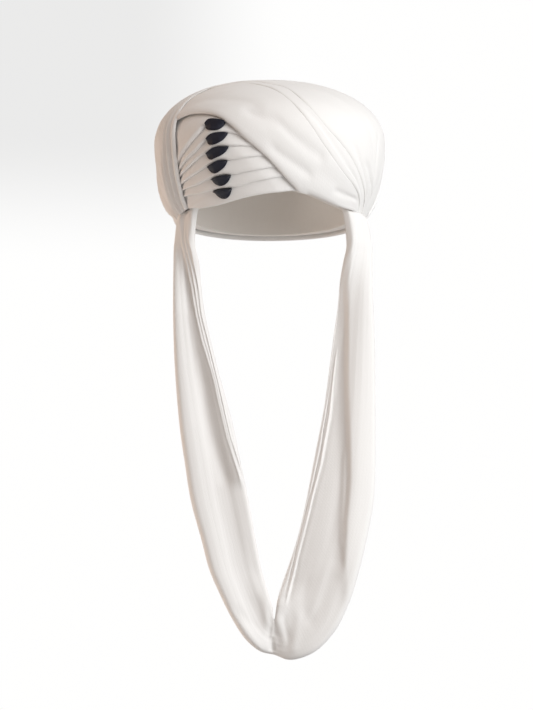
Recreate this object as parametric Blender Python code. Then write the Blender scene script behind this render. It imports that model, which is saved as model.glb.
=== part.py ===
"""A tied turban with a fan of pleats, six cloth buttons and a hanging scarf loop.

Metres, +Z up, front towards -Y. The origin is the middle of the head opening, level with its sides.
Places on the dome are given by two angles seen from the gather point, low in the middle of the hollow:
turn runs from the left temple (-90) over the front (0) to the right temple (90), and
rise runs from level at the front (0) over the top (90) to level at the back (180).
"""

import math

import bmesh
import bpy
import numpy as np

# Head hollow
HEAD_WIDTH = 0.158
HEAD_LENGTH = 0.198
HOLLOW_TOP = 0.100
HOLLOW_WIDEST = 0.010

# Padding between the hollow and the core of wound cloth
SIDE_PADDING = 0.031
END_PADDING = 0.026
TOP_PADDING = 0.025
BELLY_HEIGHT = 0.067
SQUARENESS = 2.1

# Wall left at the rim, and how far the rim lies below the belly
RIM_WALL_SIDE = 0.012
RIM_WALL_FRONT = 0.0062
RIM_WALL_BACK = 0.0060
RIM_DROP_SIDE = 0.075
RIM_DROP_FRONT = 0.056
RIM_DROP_BACK = 0.086

# Gather point that the angles are measured from
GATHER_FORWARD = 0.025
GATHER_DROP = 0.008

# Cloth layers, as heights above the core
CORE_SETTLE = 0.0016
LAYER_GAP = 0.0006
LEAST_GAP = 0.0005
CLOTH_WALL = 0.0018
TUCK_TOP = LAYER_GAP + CLOTH_WALL
PLEAT_LIP = 0.0054
CROSS_LIP = 0.0066
SECOND_LIP = 0.0058
WRAP_LIP = 0.0060
LEFT_LIP = 0.0084
BACK_LIP = 0.0060
BAND_BODY = 0.0050
FOLD_HEIGHT = 0.0013
LEAST_WALL = 0.0013

# Tucks and hems, in degrees of rise
PLEAT_TUCK = 1.7
CROSS_TUCK = 3.5
LEFT_TUCK = 8.5
LEFT_SIDE_TUCK = 2.0
BAND_TUCK = 3.0
HEM = 1.2

# How far past a tuck the cloth stays lifted, and over how much it comes down, in degrees
PLEAT_HOLD = 0.4
PLEAT_LANDING = 1.2
BAND_HOLD = 0.4
BAND_LANDING = 1.8
LEFT_HOLD = 6.0
LEFT_LANDING = 10.0
LEFT_SIDE_HOLD = 10.0
LEFT_SIDE_LANDING = 5.0
BACK_HOLD = 0.6
BACK_END_HOLD = 5.0

# Lift over tucked cloth: the bands over each other, the left wrap over all, the back wrap's two ends
BAND_LIFT = 0.0015
CROSS_LIFT = 0.0002
LEFT_LIFT = 0.0065
LEFT_END_LIFT = 0.0062
BACK_LIFT = 0.0008
BACK_END_LIFT = 0.0063
RIGHT_END = 30.0
RIGHT_END_SPAN = 25.0

# Shapes of the lips: width of the roll in degrees, thickness left at the very edge
BAND_ROLL = 1.2
PLEAT_ROLL = 0.8
EDGE_SHARE = 0.42
LIP_REACH = 12.0
LEFT_LIP_REACH = 40.0
TAPER = 9.0
PRESS_REACH = 9.0

# The cloth thins where it gathers at the temples
GATHER_FROM = 62.0
GATHER_SPAN = 26.0
GATHER_THINNING = 0.35

# Long folds of the left wrap
LEFT_FOLD_COUNT = 5
LEFT_FOLD_FADE = 30.0
LEFT_BODY = 0.0062
LEFT_WIDTH = 60.0
LEFT_HEM_TURN = -65.2
LEFT_END_RISE = 160.0

# Grids, in degrees between columns and in rows
CROWN_COLUMNS = 25
CROWN_ROWS = 15
BACK_COLUMNS = 29
BAND_STEP = 5.0
WRAP_STEP = 6.6
SIDE_END = 88.5
CROWN_END = 89.0
LEAST_SPAN = 1.6
FINE_STEP = 0.25
LEAST_STEP = 0.8
BAND_ROWS = (0.0, 0.5, 1.3, 2.8, 4.8)
BACK_ROWS = (0.0, 0.6, 2.4, 4.8)
PLEAT_ROWS = (0.0, 0.6, 2.3)
NEAR_SHARE = 0.45
LEFT_ROWS = (0.0, 0.008, 0.03, 0.08, 0.14, 0.20, 0.26, 0.32, 0.38, 0.44, 0.50, 0.56, 0.62, 0.68, 0.74,
             0.80, 0.86, 0.90, 0.93, 0.955, 0.98, 1.0)
LEFT_COLUMNS = (0.0, 0.012, 0.04, 0.10, 0.16, 0.22, 0.28, 0.34, 0.40, 0.46, 0.52, 0.58, 0.64, 0.70, 0.76,
                0.82, 0.88, 0.94, 1.0)
HEM_FADE = 5

# Scarf loop
LOOP_INSET = 0.006
LOOP_DROP = 0.436
LOOP_FORWARD_TOP = 0.045
LOOP_FORWARD_BOTTOM = 0.100
LOOP_TWIST = 0.014
LOOP_UNTWIST_SHARE = 0.85
UNTWIST_DROP_SHARE = 0.25
FLAT_FROM_SHARE = 0.6
FLAT_OVER_SHARE = 0.3
LOOP_SEAT_GAP = 0.0004
FOLD_DEPTH = 0.0060
CREASE_DEPTH = 0.010
LOOP_STEPS = 49
LOOP_END_SHARE = 0.55
LOOP_END_ROWS = 3.0
CREASE_SPAN_ROWS = 1.2
CREASE_FADE_SHARE = 0.8

# Buttons
BUTTON_BULGE = 0.0026
BUTTON_EDGE = 0.0006
BUTTON_SEAT = 0.0009
BUTTON_GAP = 0.25
BUTTON_LEAN = 0.85
BUTTON_FULLNESS = 0.65
BUTTON_TIP = 0.3
BUTTON_ROWS = (0.0, 0.35, 0.7, 1.0)

# Lines on the dome, one row for each knee: turn, rise
RIM_FRONT = ((-90, 22), (-67, 18.6), (-55, 13.4), (-39, 11.9), (-24, 13.2), (-12, 14.6), (0, 15.8), (11, 16.6),
             (16, 17), (25, 16.4), (37, 14.8), (55, 13.6), (74, 17.5), (90, 21))
RIM_BACK = ((-90, 182), (-60, 184), (0, 185.5), (60, 184), (90, 182))
CROSS_EDGE = ((-60, 86), (-50, 71), (-40, 61.4), (-33, 56.4), (-27, 51.5), (-21.5, 46.8), (-16, 41),
              (-10.5, 35.4), (-5, 31.2), (1.5, 26.3), (9.5, 20.6), (16, 16.8), (25, 10), (40, -2), (90, -57))
SECOND_EDGE = ((-60, 106), (-24, 82), (-7, 69.8), (4, 56.4), (9, 49.3), (14, 43.6), (20.5, 38.6),
               (27.5, 34.8), (34.5, 32.1), (43, 30.4), (51.5, 30), (60, 29.6), (67, 27.2), (76, 20), (90, 10))
RIGHT_EDGE = ((-60, 113), (-30, 98), (-12, 81), (-1, 69), (5.5, 63.4), (11, 54.9), (17, 47.4), (22, 43.6),
              (30, 41.1), (40, 39.4), (48, 38.2), (58.5, 37.6), (71, 38), (82, 36), (90, 33))
LEFT_EDGE = ((-90, -60), (-78, -25), (-69, 3), (-65.2, 17), (-63, 23.2), (-60.5, 29), (-55.8, 36.8),
             (-51.5, 43), (-45.6, 52), (-41, 60.5), (-37, 69), (-32.5, 76.5), (-23, 86.5), (-8, 96.5),
             (10, 106), (30, 118), (50, 132), (70, 148), (90, 164))
BACK_EDGE = ((-90, 166), (-60, 157), (-30, 152), (0, 150), (30, 152), (60, 157), (90, 166))

# Lower edges of the upper six pleats: their rise at each turn of PLEAT_KNEES
PLEAT_KNEES = (-70, -60, -45, -35, -29, -25, -20, -10, 0, 10)
PLEAT_EDGES = (
    (47.6, 45.4, 44.2, 44.2, 44.9, 46.4, 44.9, 39.5, 35.5, 31),
    (44.9, 42.9, 40.1, 39.3, 40.2, 40.9, 39.9, 36.0, 33.6, 30.5),
    (42, 40.3, 36.4, 35.8, 35.5, 35.9, 34.7, 32.9, 31.8, 30),
    (38.5, 35.8, 31.4, 30.4, 30.5, 30.7, 29.4, 29.0, 28.9, 28.2),
    (34.5, 31.5, 26.0, 25.0, 24.9, 24.6, 23.8, 24.0, 24.6, 25.2),
    (31.5, 26.6, 20.6, 19.5, 19.2, 18.8, 18.5, 19.6, 20.7, 21.7),
)
PLEAT_TURNS = (-67, -62, -57, -51, -44, -38, -32, -28, -25, -22, -19, -15, -8, 0, 9)

# Buttons, one row each: turn of the left tip, turn of the right tip, degrees of rise that it hangs down
BUTTONS = (
    (-28.2, -19.4, 3.7),
    (-28.8, -18.6, 3.8),
    (-31.4, -20.2, 3.9),
    (-33.6, -21.6, 4.2),
    (-34.2, -21.6, 4.1),
    (-36.4, -24.4, 4.6),
)

# Press of the bands over the tucked pleats and of the left wrap over all
CROSS_PRESS = 0.55
LEFT_PRESS = 0.78

# Loop, one row for each section: outer x, outer drop, inner x, inner drop (shares of half width and drop)
LOOP_ROWS = (
    (-0.800, 0.020, -0.680, 0.020),
    (-0.900, 0.075, -0.725, 0.075),
    (-0.920, 0.130, -0.680, 0.130),
    (-0.920, 0.230, -0.620, 0.230),
    (-0.900, 0.350, -0.500, 0.350),
    (-0.855, 0.475, -0.355, 0.475),
    (-0.800, 0.565, -0.275, 0.565),
    (-0.740, 0.650, -0.200, 0.650),
    (-0.640, 0.735, -0.135, 0.735),
    (-0.565, 0.800, -0.080, 0.800),
    (-0.465, 0.855, -0.020, 0.850),
    (-0.360, 0.905, 0.020, 0.882),
    (-0.240, 0.950, 0.028, 0.898),
    (-0.100, 0.980, 0.033, 0.907),
    (0.040, 0.990, 0.037, 0.911),
    (0.200, 1.000, 0.042, 0.908),
    (0.420, 0.980, 0.047, 0.900),
    (0.600, 0.935, 0.054, 0.887),
    (0.710, 0.885, 0.067, 0.868),
    (0.780, 0.840, 0.100, 0.840),
    (0.850, 0.780, 0.190, 0.780),
    (0.910, 0.720, 0.270, 0.720),
    (0.965, 0.650, 0.340, 0.650),
    (0.985, 0.560, 0.415, 0.560),
    (0.990, 0.440, 0.515, 0.440),
    (0.990, 0.340, 0.575, 0.340),
    (0.985, 0.265, 0.620, 0.265),
    (0.975, 0.200, 0.665, 0.200),
    (0.965, 0.120, 0.710, 0.120),
    (0.940, 0.075, 0.735, 0.075),
    (0.800, 0.020, 0.680, 0.020),
)
CREASE_ROW = 14
FOLD_BLEND = 6.0

# Folds across each leg: share from the outer edge, front height, back height (shares of the fold depth)
LEFT_FOLDS = (
    (0.000, -0.30, -0.90),
    (0.050, 0.35, -1.25),
    (0.140, 0.65, -0.90),
    (0.260, 0.70, -0.60),
    (0.420, 0.15, -0.80),
    (0.550, -0.65, -1.45),
    (0.660, -0.10, -1.10),
    (0.780, 0.35, -0.60),
    (0.830, 0.02, -0.60),
    (0.880, 0.32, -0.60),
    (0.925, 0.00, -0.70),
    (0.965, 0.25, -0.80),
    (1.000, -0.25, -0.70),
)
RIGHT_FOLDS = (
    (0.000, -0.30, -0.90),
    (0.050, 0.35, -1.20),
    (0.160, 0.65, -0.60),
    (0.300, 0.65, -0.50),
    (0.440, 0.35, -0.60),
    (0.500, -0.10, -0.90),
    (0.535, -1.00, -1.70),
    (0.620, -0.55, -1.40),
    (0.720, 0.25, -0.80),
    (0.820, 0.55, -0.50),
    (0.870, 0.20, -0.50),
    (0.930, 0.45, -0.40),
    (1.000, -0.10, -0.60),
)

# Passes of the two searches for a point on the core and on the rim
HALVINGS = 30
RIM_PASSES = 6

# Colours: linear red, green, blue
IVORY = (0.83, 0.80, 0.76, 1.0)
BUTTON_BLACK = (0.013, 0.013, 0.019, 1.0)


def clear_scene():
    for obj in list(bpy.data.objects):
        bpy.data.objects.remove(obj, do_unlink=True)


def material(name, colour, roughness):
    made = bpy.data.materials.new(name)
    made.use_nodes = True
    shader = made.node_tree.nodes["Principled BSDF"]
    shader.inputs["Base Color"].default_value = colour
    shader.inputs["Roughness"].default_value = roughness
    shader.inputs["Metallic"].default_value = 0.0
    return made


def ease(x):
    x = np.clip(x, 0.0, 1.0)
    return x * x * (3.0 - 2.0 * x)


def smooth(knees, values, x):
    """A smooth curve through the knees, with the slope at each taken from its neighbours."""
    knees = np.asarray(knees, float)
    values = np.asarray(values, float)
    x = np.clip(x, knees[0], knees[-1])
    slopes = np.gradient(values, knees)
    i = np.clip(np.searchsorted(knees, x) - 1, 0, len(knees) - 2)
    step = knees[i + 1] - knees[i]
    s = (x - knees[i]) / step
    rise = values[i] * (1 + 2 * s) * (1 - s) ** 2 + values[i + 1] * s * s * (3 - 2 * s)
    return rise + step * (slopes[i] * s * (1 - s) ** 2 - slopes[i + 1] * s * s * (1 - s))


def line(table, turn):
    knees, values = zip(*table)
    return smooth(knees, values, turn)


def undercut(head_half, core_half, wall, drop):
    """How deep the lower half of the core would be, for it to leave this wall at the rim."""
    share = (head_half + wall) / core_half
    return drop / (1.0 - share**SQUARENESS) ** (1.0 / SQUARENESS)


CORE_HALF_WIDTH = HEAD_WIDTH / 2 + SIDE_PADDING
CORE_HALF_LENGTH = HEAD_LENGTH / 2 + END_PADDING
LOOP_HALF_WIDTH = CORE_HALF_WIDTH - LOOP_INSET
CORE_CAP = HOLLOW_TOP + TOP_PADDING - BELLY_HEIGHT
UNDERCUT_SIDE = undercut(HEAD_WIDTH / 2, CORE_HALF_WIDTH, RIM_WALL_SIDE, RIM_DROP_SIDE)
UNDERCUT_FRONT = undercut(HEAD_LENGTH / 2, CORE_HALF_LENGTH, RIM_WALL_FRONT, RIM_DROP_FRONT)
UNDERCUT_BACK = undercut(HEAD_LENGTH / 2, CORE_HALF_LENGTH, RIM_WALL_BACK, RIM_DROP_BACK)
GATHER = np.array([0.0, -GATHER_FORWARD, -GATHER_DROP])


def direction(turn, rise):
    turn, rise = np.broadcast_arrays(np.radians(turn), np.radians(rise))
    return np.stack([np.sin(turn), -np.cos(turn) * np.cos(rise), np.cos(turn) * np.sin(rise)], -1)


def core_field(point):
    """1 on the core's outer surface, less inside it."""
    x, y, z = point[..., 0], point[..., 1], point[..., 2] - BELLY_HEIGHT
    ahead = -y / (np.hypot(x, y) + 1e-9)
    ends = UNDERCUT_SIDE + (UNDERCUT_FRONT + UNDERCUT_BACK - 2 * UNDERCUT_SIDE) / 2 * ahead**2
    below = ends + (UNDERCUT_FRONT - UNDERCUT_BACK) / 2 * ahead
    depth = np.where(z > 0, CORE_CAP, below)
    round_plan = (np.abs(x) / CORE_HALF_WIDTH) ** SQUARENESS + (np.abs(y) / CORE_HALF_LENGTH) ** SQUARENESS
    return round_plan + (np.abs(z) / depth) ** SQUARENESS


def core_point(ray):
    near = np.zeros(ray.shape[:-1])
    far = near + 2 * CORE_HALF_LENGTH
    for _ in range(HALVINGS):
        middle = (near + far) / 2
        inside = core_field(GATHER + ray * middle[..., None]) < 1.0
        near = np.where(inside, middle, near)
        far = np.where(inside, far, middle)
    return GATHER + ray * far[..., None]


def core_normal(point):
    step = 1e-5
    slope = [core_field(point + step * axis) - core_field(point - step * axis) for axis in np.eye(3)]
    slope = np.stack(slope, -1)
    return slope / np.linalg.norm(slope, axis=-1, keepdims=True)


def placed(turn, rise, height):
    point = core_point(direction(turn, rise))
    return point + core_normal(point) * np.asarray(height)[..., None]


def hollow_point(turn, rise):
    """Where a ray from the gather point meets the head hollow."""
    ray = direction(turn, rise)
    half = np.array([HEAD_WIDTH / 2, HEAD_LENGTH / 2, HOLLOW_TOP - HOLLOW_WIDEST])
    start = (GATHER - np.array([0.0, 0.0, HOLLOW_WIDEST])) / half
    along = ray / half
    a = (along * along).sum(-1)
    b = (along * start).sum(-1)
    c = (start * start).sum() - 1.0
    return GATHER + ray * ((-b + np.sqrt(b * b - a * c)) / a)[..., None]


def shell(name, outer, inner, finish):
    """One closed piece between two grids of points with the same rows and columns."""
    rows, columns = outer.shape[:2]
    size = rows * columns
    vertices = np.concatenate([outer.reshape(-1, 3), inner.reshape(-1, 3)])
    index = np.arange(size).reshape(rows, columns)
    faces = []
    for side in (index, index + size):
        corners = np.stack([side[:-1, :-1], side[1:, :-1], side[1:, 1:], side[:-1, 1:]], -1)
        faces += corners.reshape(-1, 4).tolist()
    border = np.concatenate([index[0], index[1:, -1], index[-1, -2::-1], index[-2:0:-1, 0]])
    following = np.roll(border, -1)
    faces += np.stack([border, following, following + size, border + size], -1).tolist()
    return solid(name, vertices, faces, finish)


def solid(name, vertices, faces, finish):
    mesh = bpy.data.meshes.new(name)
    mesh.from_pydata([tuple(v) for v in vertices], [], faces)
    work = bmesh.new()
    work.from_mesh(mesh)
    bmesh.ops.recalc_face_normals(work, faces=work.faces)
    work.to_mesh(mesh)
    work.free()
    mesh.shade_smooth()
    mesh.set_sharp_from_angle(angle=math.radians(50))
    mesh.materials.append(finish)
    made = bpy.data.objects.new(name, mesh)
    bpy.context.scene.collection.objects.link(made)
    return made


def cover(turn, lines):
    """The lowest of the lines that lie over a piece, each with its tuck added, and of the left wrap's."""
    left = line(LEFT_EDGE, turn + LEFT_SIDE_TUCK) + LEFT_TUCK
    return np.min([left] + [line(table, turn) + tuck for table, tuck in lines], axis=0)


def edge_above(turn, tables):
    """The lowest of the edge lines that lie over a piece, the left wrap's among them."""
    return np.min([line(table, turn) for table in (LEFT_EDGE, *tables)], axis=0)


def stations(low, high, step):
    """Turn angles, a step apart, over which the high line stays clear of the low one."""
    fine = np.arange(-SIDE_END, SIDE_END + FINE_STEP / 2, FINE_STEP)
    open_turns = fine[high(fine) - low(fine) > LEAST_SPAN]
    first, last = open_turns.min(), open_turns.max()
    return np.linspace(first, last, int(math.ceil((last - first) / step)) + 1)


def spread(low, high, near, count):
    """Rises from low to high at each turn: dense by the free edge, then evenly spaced."""
    width = (high - low)[:, None]
    shares = np.linspace(0.0, NEAR_SHARE, len(near))
    close = np.minimum(np.array(near)[None, :], shares[None, :] * width)
    rest = np.linspace(0.0, 1.0, count + 1)[1:][None, :]
    far = close[:, -1:] + (width - close[:, -1:]) * rest
    return low[:, None] + np.concatenate([close, far], axis=1)


def press(turn, rise, table, amount):
    """A factor that falls to the amount where a piece passes under the band with this edge line."""
    return 1.0 - (1.0 - amount) * ease((rise - line(table, turn)) / PRESS_REACH + 1.0)


def gather(turn):
    return 1.0 - GATHER_THINNING * ease((np.abs(turn) - GATHER_FROM) / GATHER_SPAN)


def rounded(inner, outer, away, roll):
    """Draws the outer height in at a free edge, so that the lip is round."""
    share = EDGE_SHARE + (1.0 - EDGE_SHARE) * np.sqrt(np.clip(away / roll, 0.0, 1.0))
    return inner + (outer - inner) * share


def landed(away, hold, landing):
    """1 where cloth is held up by what is tucked under it, falling to 0 where it lies down."""
    return 1.0 - ease((away - hold) / landing)


def pleat_low(number, turn):
    if number == len(PLEAT_EDGES):
        return line(RIM_FRONT, turn) - HEM
    return smooth(PLEAT_KNEES, PLEAT_EDGES[number], turn)


def pleat_high(number, turn):
    covered = cover(turn, ((CROSS_EDGE, CROSS_TUCK),))
    if number == 0:
        return covered
    return np.minimum(covered, pleat_low(number - 1, turn) + PLEAT_TUCK)


def pleat_heights(number, turn, rise):
    """Inner and outer heights: high at the free lip, flat where it is tucked under the next one up."""
    away = rise - pleat_low(number, turn)
    upper = pleat_high(number, turn) - PLEAT_TUCK
    lifted = PLEAT_LIP - CLOTH_WALL - LAYER_GAP
    over = 1.0 if number < len(PLEAT_EDGES) else 0.0
    inner = LAYER_GAP + over * lifted * landed(away, PLEAT_TUCK + PLEAT_HOLD, PLEAT_LANDING)
    slope = np.clip(away / np.maximum(upper - rise + away, LEAST_SPAN), 0.0, 1.0)
    outer = TUCK_TOP + (PLEAT_LIP - TUCK_TOP) * (1.0 - slope)
    outer = rounded(inner, np.maximum(outer, inner + LEAST_WALL), away, PLEAT_ROLL)
    flat = press(turn, rise, CROSS_EDGE, CROSS_PRESS) * press(turn, rise, LEFT_EDGE, LEFT_PRESS)
    return np.maximum(inner * flat, LEAST_GAP), outer * flat


def build_pleat(number, finish):
    def low(turn):
        return pleat_low(number, turn)

    def high(turn):
        return pleat_high(number, turn)

    span = stations(low, high, WRAP_STEP)
    inside = [t for t in PLEAT_TURNS if span[0] + LEAST_STEP < t < span[-1] - LEAST_STEP]
    turn = np.array([span[0], *inside, span[-1]])
    rise = spread(low(turn), high(turn), PLEAT_ROWS, 4 if number == 0 else 3)
    turn = turn[:, None] + 0.0 * rise
    inner, outer = pleat_heights(number, turn, rise)
    return shell(f"pleat_{number + 1}", placed(turn, rise, outer), placed(turn, rise, inner), finish)


def band_low(edge, turn):
    return np.maximum(line(edge, turn), line(RIM_FRONT, turn) - HEM)


def band_heights(turn, rise, edge, covers, lip, lifted):
    """Inner and outer heights of a band: lifted over what is tucked under its free edge."""
    from_low = rise - band_low(edge, turn)
    left = edge_above(turn, [table for table, _ in covers]) - rise
    body = BAND_BODY + (lip - BAND_BODY) * (1.0 - ease(from_low / LIP_REACH))
    outer = TUCK_TOP + (body - TUCK_TOP) * ease(left / TAPER)
    inner = LAYER_GAP + lifted
    return inner, rounded(inner, np.maximum(outer, inner + LEAST_WALL), from_low, BAND_ROLL)


def build_band(name, edge, tuck, covers, lip, lift, step, count, finish):
    def low(turn):
        return band_low(edge, turn)

    def high(turn):
        return cover(turn, covers)

    turn = stations(low, high, step)
    rise = spread(low(turn), high(turn), BAND_ROWS, count)
    turn = turn[:, None] + 0.0 * rise
    lifted = lift * landed(rise - line(edge, turn), tuck + BAND_HOLD, BAND_LANDING)
    inner, outer = band_heights(turn, rise, edge, covers, lip, lifted)
    flat = gather(turn)
    if edge is CROSS_EDGE:
        flat = flat * press(turn, rise, LEFT_EDGE, LEFT_PRESS)
    return shell(name, placed(turn, rise, outer * flat), placed(turn, rise, inner * flat), finish)


def build_crown(finish):
    turn = np.linspace(-CROWN_END, CROWN_END, CROWN_COLUMNS)
    share = np.linspace(0.0, 1.0, CROWN_ROWS)[None, :]
    low, high = line(RIM_FRONT, turn)[:, None], line(RIM_BACK, turn)[:, None]
    rise = low + (high - low) * share
    turn = turn[:, None] + 0.0 * rise
    outer = placed(turn, rise, 0.0 * rise - CORE_SETTLE)
    return shell("crown", outer, hollow_point(turn, rise), finish)


def left_turn(rise):
    """The turn of the left wrap's front edge at a rise."""
    knees, rises = zip(*LEFT_EDGE)
    return smooth(rises, knees, rise)


def right_end(turn):
    """0 over the front and left, rising to 1 where the wraps run together by the right temple."""
    return ease((turn - RIGHT_END) / RIGHT_END_SPAN)


def left_lifted(turn, rise, behind):
    """How far the left wrap is held up near its front edge. behind is the turn that lies in front of it."""
    above = landed(rise - line(LEFT_EDGE, turn), LEFT_TUCK + LEFT_HOLD, LEFT_LANDING)
    beside = landed(behind, LEFT_SIDE_HOLD, LEFT_SIDE_LANDING)
    return (LEFT_LIFT + (LEFT_END_LIFT - LEFT_LIFT) * right_end(turn)) * np.maximum(above, beside)


def left_heights(turn, rise, share, behind):
    """Heights of the left wrap, with long folds that run with its front edge."""
    away = rise - line(LEFT_EDGE, turn)
    left = line(BACK_EDGE, turn) - rise
    inner = 2 * LAYER_GAP + left_lifted(turn, rise, behind)
    body = LEFT_BODY + (LEFT_LIP - LEFT_BODY) * (1.0 - ease(away / LEFT_LIP_REACH))
    folds = FOLD_HEIGHT * np.cos(2 * math.pi * LEFT_FOLD_COUNT * share) * ease(left / LEFT_FOLD_FADE)
    outer = TUCK_TOP + (body + folds - TUCK_TOP) * ease(left / TAPER)
    outer = np.maximum(outer, inner + LEAST_WALL)
    edge = np.minimum(share * LEFT_WIDTH, rise - line(RIM_FRONT, turn) + HEM)
    return inner * gather(turn), rounded(inner, outer, edge, BAND_ROLL) * gather(turn)


def build_left_wrap(finish):
    start, end = line(RIM_FRONT, LEFT_HEM_TURN) - HEM, LEFT_END_RISE
    row = np.array(LEFT_ROWS)[:, None]
    share = np.array(LEFT_COLUMNS)[None, :]
    nominal = start + (end - start) * row
    front = left_turn(nominal)
    behind = share * (front + SIDE_END)
    turn = front - behind
    hem = line(RIM_FRONT, turn) - HEM - start
    top = line(BACK_EDGE, turn) + BAND_TUCK - end
    rise = nominal + hem * (1 - row) ** HEM_FADE + top * row**HEM_FADE
    inner, outer = left_heights(turn, rise, share, behind)
    return shell("left_wrap", placed(turn, rise, outer), placed(turn, rise, inner), finish)


def build_back_wrap(finish):
    turn = np.linspace(-SIDE_END, SIDE_END, BACK_COLUMNS)
    low, high = line(BACK_EDGE, turn), line(RIM_BACK, turn) + HEM
    rise = spread(low, high, BACK_ROWS, 4)
    turn = turn[:, None] + 0.0 * rise
    away = rise - low[:, None]
    left = high[:, None] - rise
    lift = BACK_LIFT + (BACK_END_LIFT - BACK_LIFT) * right_end(turn)
    hold = BAND_TUCK + BACK_HOLD + BACK_END_HOLD * right_end(turn)
    inner = LAYER_GAP + (TUCK_TOP + lift) * landed(away, hold, BAND_LANDING)
    lip = BACK_LIP + lift - BACK_LIFT
    outer = BAND_BODY + (lip - BAND_BODY) * (1.0 - ease(away / LIP_REACH))
    outer = rounded(inner, outer, np.minimum(away, left), BAND_ROLL)
    flat = gather(turn)
    return shell("back_wrap", placed(turn, rise, outer * flat), placed(turn, rise, inner * flat), finish)


def build_button(number, finish):
    left, right, drop = BUTTONS[number]
    inside = [t for t in PLEAT_TURNS if left + LEAST_STEP < t < right - LEAST_STEP]
    turn = np.array([left, *inside, right])
    share = (turn - left) / (right - left)
    sag = drop * np.maximum(np.sin(math.pi * share**BUTTON_LEAN), 0.0) ** BUTTON_FULLNESS
    down = np.array(BUTTON_ROWS)[None, :]
    top = pleat_low(number, turn) - BUTTON_GAP
    rise = top[:, None] - (sag[:, None] + BUTTON_TIP) * down
    turn = turn[:, None] + 0.0 * rise
    hump = 4 * share * (1 - share)
    bulge = BUTTON_BULGE * np.sqrt(hump[:, None] * (1 - down**2)) + BUTTON_EDGE
    base = pleat_heights(number + 1, turn, rise)[1] + BUTTON_SEAT
    return shell(f"button_{number + 1}", placed(turn, rise, base + bulge), placed(turn, rise, base), finish)


def rim_face(x, y):
    """Height of the crown's underside in front of the temples."""
    x, y = np.asarray(x), np.asarray(y) + GATHER_FORWARD
    z = 0.0 * x
    for _ in range(RIM_PASSES):
        turn = np.degrees(np.arctan2(x, np.hypot(y, z)))
        z = -y * np.tan(np.radians(line(RIM_FRONT, turn)))
    return z - GATHER_DROP


def loop_forward(drop):
    return LOOP_FORWARD_TOP + (LOOP_FORWARD_BOTTOM - LOOP_FORWARD_TOP) * ease(drop)


def loop_edges(row):
    """Outer and inner edge points of the loop at each place along its rows."""
    table = np.array(LOOP_ROWS)
    places = np.arange(len(table))
    outer_x, outer_drop, inner_x, inner_drop = (smooth(places, table[:, c], row) for c in range(4))
    edges = []
    for x, drop, side in ((outer_x, outer_drop, 1.0), (inner_x, inner_drop, -1.0)):
        twist = side * LOOP_TWIST * (1.0 - LOOP_UNTWIST_SHARE * ease(drop / UNTWIST_DROP_SHARE))
        y = -loop_forward(drop) + twist * (1.0 - ease((drop - FLAT_FROM_SHARE) / FLAT_OVER_SHARE))
        edges.append(np.stack([x * LOOP_HALF_WIDTH, y, -drop * LOOP_DROP], -1))
    return edges


def build_tail_loop(finish):
    last = len(LOOP_ROWS) - 1
    row = np.linspace(0.0, last, LOOP_STEPS)
    outer, inner = loop_edges(row)
    middle = (outer + inner) / 2
    path = np.gradient(middle, axis=0)
    forward = -np.cross(inner - outer, path)
    forward /= np.linalg.norm(forward, axis=-1, keepdims=True)
    blend = ease((row - CREASE_ROW) / FOLD_BLEND + 0.5)[:, None]
    left, right = np.array(LEFT_FOLDS), np.array(RIGHT_FOLDS)
    across, front, back = (left[:, c] * (1 - blend) + right[:, c] * blend for c in range(3))
    ends = np.minimum(row, last - row)[:, None]
    depth = FOLD_DEPTH * (LOOP_END_SHARE + (1.0 - LOOP_END_SHARE) * ease(ends / LOOP_END_ROWS))
    crease = CREASE_DEPTH * np.exp(-(((row - CREASE_ROW) / CREASE_SPAN_ROWS) ** 2))[:, None]
    crease = crease * (1.0 - CREASE_FADE_SHARE * across)
    grids = []
    for height in (front, back):
        points = outer[:, None, :] + (inner - outer)[:, None, :] * across[..., None]
        points = points + forward[:, None, :] * (height * depth - crease)[..., None]
        seat = rim_face(points[..., 0], points[..., 1]) - LOOP_SEAT_GAP
        lift = (seat - points[..., 2]) * (1.0 - ease(ends))
        points[..., 2] += lift
        grids.append(points)
    return shell("tail_loop", grids[0], grids[1], finish)


def build():
    clear_scene()
    build_crown(material("crown_cloth", IVORY, 0.85))
    for number in range(len(PLEAT_EDGES) + 1):
        build_pleat(number, material(f"pleat_{number + 1}_cloth", IVORY, 0.8))
    over_pleats = PLEAT_LIP * CROSS_PRESS + CROSS_LIFT
    over_tuck = TUCK_TOP + BAND_LIFT
    build_band("cross_band", CROSS_EDGE, CROSS_TUCK, ((SECOND_EDGE, BAND_TUCK),),
               CROSS_LIP, over_pleats, BAND_STEP, 5, material("cross_band_cloth", IVORY, 0.8))
    build_band("second_band", SECOND_EDGE, BAND_TUCK, ((RIGHT_EDGE, BAND_TUCK),),
               SECOND_LIP, over_tuck, BAND_STEP, 3, material("second_band_cloth", IVORY, 0.8))
    build_band("right_wrap", RIGHT_EDGE, BAND_TUCK, ((BACK_EDGE, BAND_TUCK),),
               WRAP_LIP, over_tuck, WRAP_STEP, 11, material("right_wrap_cloth", IVORY, 0.8))
    build_left_wrap(material("left_wrap_cloth", IVORY, 0.8))
    build_back_wrap(material("back_wrap_cloth", IVORY, 0.8))
    build_tail_loop(material("tail_loop_cloth", IVORY, 0.8))
    for number in range(len(BUTTONS)):
        build_button(number, material(f"button_{number + 1}_cloth", BUTTON_BLACK, 0.6))


build()
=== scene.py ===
"""A tied turban in ivory cloth, with a fan of pleats, six dark cloth buttons and a hanging scarf loop.

Metres, +Z up, front towards -Y. Places on the dome are given by two angles seen from the gather point:
turn runs from the left temple (-90) over the front (0) to the right temple (90), and
rise runs from level at the front (0) over the top (90) to level at the back (180).
"""

import math

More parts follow.
